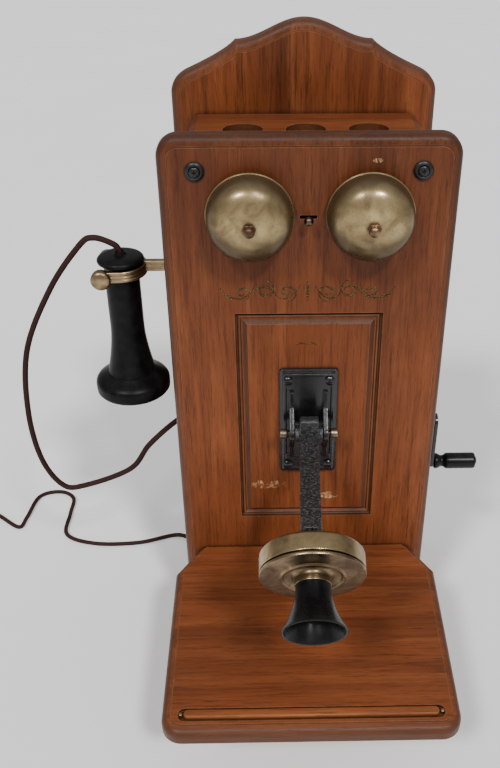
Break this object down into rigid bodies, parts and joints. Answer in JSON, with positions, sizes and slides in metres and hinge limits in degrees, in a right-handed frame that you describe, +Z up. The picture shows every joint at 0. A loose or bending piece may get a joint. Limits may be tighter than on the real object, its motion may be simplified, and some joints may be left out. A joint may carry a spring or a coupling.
{
  "type": "wall crank telephone",
  "caption": "Wooden wall telephone with crest back board, bells, tilting transmitter on an arm, sloped writing shelf, receiver on a hook and a hand crank driving a generator.",
  "frame": {"origin": "middle of the cabinet's foot, on the plane it stands on, in the cabinet's centre plane", "axes": "+Z up, -Y out of the front towards the user, +Y into the wall, +X to the right of someone facing the telephone, where the crank is"},
  "size_m": [0.586, 0.471, 0.5985],
  "materials": {
    "cabinet_wood": "satin varnish over red-brown grain, worn at the edges",
    "inside_wood": "bare",
    "black_screws": "black, satin",
    "gong_bronze": "dull olive patina",
    "bell_brass": "aged",
    "frame_steel": "brushed",
    "coil_copper": "cotton-covered copper wire",
    "black_iron": "black, slightly pitted",
    "head_brass": "aged, brown in the recesses",
    "hook_brass": "aged",
    "gear_brass": "machined",
    "gloss_black": "gloss",
    "receiver_black": "satin, slightly worn",
    "cell_jacket": "paper jacket",
    "cord_braid": "dark brown braid"
  },
  "bodies": {
    "cabinet": {"back_board": "cabinet_wood", "left_side": "cabinet_wood", "right_side": "cabinet_wood", "top_board": "cabinet_wood", "bottom_board": "inside_wood", "magneto_shelf": "inside_wood", "front_board": "cabinet_wood", "writing_shelf": "cabinet_wood", "shelf_brace_left": "cabinet_wood", "shelf_brace_right": "cabinet_wood", "pencil_lath": "cabinet_wood", "board_screw_left": "black_screws", "board_screw_right": "black_screws", "board_washer_left": "black_screws", "board_washer_right": "black_screws", "gong_left": "gong_bronze", "gong_right": "gong_bronze", "gong_post_left": "bell_brass", "gong_post_right": "bell_brass", "gong_nut_left": "bell_brass", "gong_nut_right": "bell_brass", "ringer_frame": "frame_steel", "ringer_coil_left": "coil_copper", "ringer_coil_right": "coil_copper", "bracket_plate": "black_iron", "bracket_screw_lower_left": "black_iron", "bracket_screw_lower_right": "black_iron", "bracket_screw_upper_left": "black_iron", "bracket_screw_upper_right": "black_iron", "arm_pivot_pin": "frame_steel", "hook_bracket": "frame_steel", "switch_springs": "hook_brass", "shaft_bushing": "gear_brass", "magneto_frame": "black_iron", "magneto_magnet": "frame_steel", "induction_coil": "coil_copper", "dry_cell_left": "cell_jacket", "dry_cell_right": "cell_jacket", "receiver_cord": "cord_braid", "line_cord": "cord_braid"},
    "clapper_rocker": {"clapper": "bell_brass"},
    "arm": {"transmitter_arm": "black_iron", "tilt_bolt": "head_brass"},
    "transmitter_head": {"transmitter_cup": "head_brass", "transmitter_faceplate": "head_brass", "transmitter_diaphragm": "frame_steel", "carbon_button": "head_brass", "mouthpiece": "gloss_black"},
    "receiver": {"receiver_shell": "receiver_black", "receiver_cap": "receiver_black", "ear_cap": "receiver_black", "receiver_diaphragm": "frame_steel", "receiver_magnet": "frame_steel", "receiver_coil": "coil_copper"},
    "hook": {"hook_lever": "hook_brass"},
    "crank": {"crank_shaft": "frame_steel", "drive_gear": "gear_brass", "crank_arm": "black_iron"},
    "grip": {"crank_grip": "gloss_black"},
    "armature_rotor": {"armature": "coil_copper"}
  },
  "joints": [
    {"name": "crank_turn", "type": "hinge", "parent": "cabinet", "child": "crank", "pos_m": [0, -0.0035, 0.222], "axis": [1, 0, 0], "continuous": true},
    {"name": "armature_spin", "type": "hinge", "parent": "cabinet", "child": "armature_rotor", "pos_m": [0, -0.0035, 0.187], "axis": [1, 0, 0], "continuous": true},
    {"name": "grip_spin", "type": "hinge", "parent": "crank", "child": "grip", "pos_m": [0, -0.0035, 0.1714], "axis": [1, 0, 0], "continuous": true},
    {"name": "arm_tilt", "type": "hinge", "parent": "cabinet", "child": "arm", "pos_m": [0, -0.0915, 0.2715], "axis": [1, 0, 0], "range_deg": [-35, 25]},
    {"name": "head_tilt", "type": "hinge", "parent": "arm", "child": "transmitter_head", "pos_m": [0, -0.2296, 0.2679], "axis": [1, 0, 0], "range_deg": [-30, 20]},
    {"name": "clapper_swing", "type": "hinge", "parent": "cabinet", "child": "clapper_rocker", "pos_m": [0, -0.0465, 0.4715], "axis": [0, 0, 1], "range_deg": [-12.5, 12.5]},
    {"name": "receiver_lift", "type": "slide", "parent": "cabinet", "child": "receiver", "axis": [-0.8, 0, 0.6], "range_m": [0, 0.12], "deforming": ["receiver_cord"]},
    {"name": "hook_rise", "type": "hinge", "parent": "cabinet", "child": "hook", "pos_m": [-0.066, -0.0185, 0.404], "axis": [0, 1, 0], "range_deg": [0, 8]}
  ],
  "couplings": [
    {"joint": "armature_spin", "follows": "crank_turn", "ratio": -4},
    {"joint": "hook_rise", "follows": "receiver_lift", "rad_per_m": 1.15}
  ]
}
